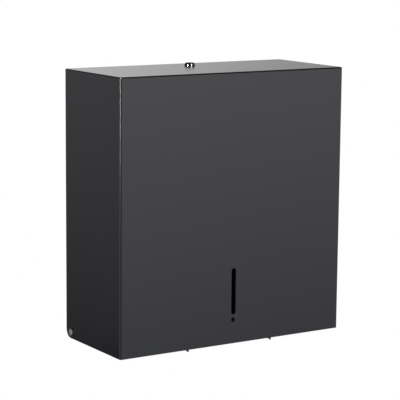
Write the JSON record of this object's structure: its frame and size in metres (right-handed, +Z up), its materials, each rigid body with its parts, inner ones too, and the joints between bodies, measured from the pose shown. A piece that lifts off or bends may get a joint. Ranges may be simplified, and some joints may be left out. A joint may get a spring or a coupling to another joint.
{
  "type": "jumbo toilet roll dispenser",
  "caption": "Wall-mounted jumbo roll dispenser: square folded-steel box with a hinged locking cover, inner spool, sight slot and serrated tear blades under the paper outlet.",
  "frame": {"origin": "middle of the four wall fixings on the wall plane, which is also where the spool's axis meets the wall", "axes": "+X to the right seen from the front, +Y into the wall, +Z up; the front face is at negative Y"},
  "size_m": [0.3022, 0.128, 0.3195],
  "materials": {
    "black_powder_coat": "matte black powder coat, fine texture",
    "zinc_plated_steel": "bright zinc plate",
    "stainless_steel": "plain stainless",
    "black_lock": "glossy black enamel",
    "black_nylon": "moulded, satin",
    "grey_abs": "moulded, satin"
  },
  "bodies": {
    "wall_frame": {"back_plate": "black_powder_coat", "bottom_tray": "black_powder_coat", "tear_blade_left": "black_powder_coat", "tear_blade_right": "black_powder_coat", "blade_rivets": "zinc_plated_steel", "hinge_screws": "stainless_steel", "hinge_nuts": "zinc_plated_steel", "spindle": "black_powder_coat", "spool_screw": "zinc_plated_steel"},
    "cover": {"cover_shell": "black_powder_coat", "hinge_bushes": "black_nylon", "lock_barrel": "black_lock", "lock_nut": "zinc_plated_steel"},
    "lock_rotor": {"lock_plug": "black_lock", "lock_cam": "zinc_plated_steel", "cam_screw": "zinc_plated_steel"},
    "roll_spool": {"spool": "grey_abs"}
  },
  "joints": [
    {"name": "cover_swing", "type": "hinge", "parent": "wall_frame", "child": "cover", "pos_m": [0, -0.015, -0.142], "axis": [1, 0, 0], "range_deg": [0, 90]},
    {"name": "lock_turn", "type": "hinge", "parent": "cover", "child": "lock_rotor", "pos_m": [0, -0.03, 0.162], "axis": [0, 0, -1], "range_deg": [0, 90]},
    {"name": "spool_spin", "type": "hinge", "parent": "wall_frame", "child": "roll_spool", "pos_m": [0, 0, 0], "axis": [0, 1, 0], "continuous": true}
  ]
}
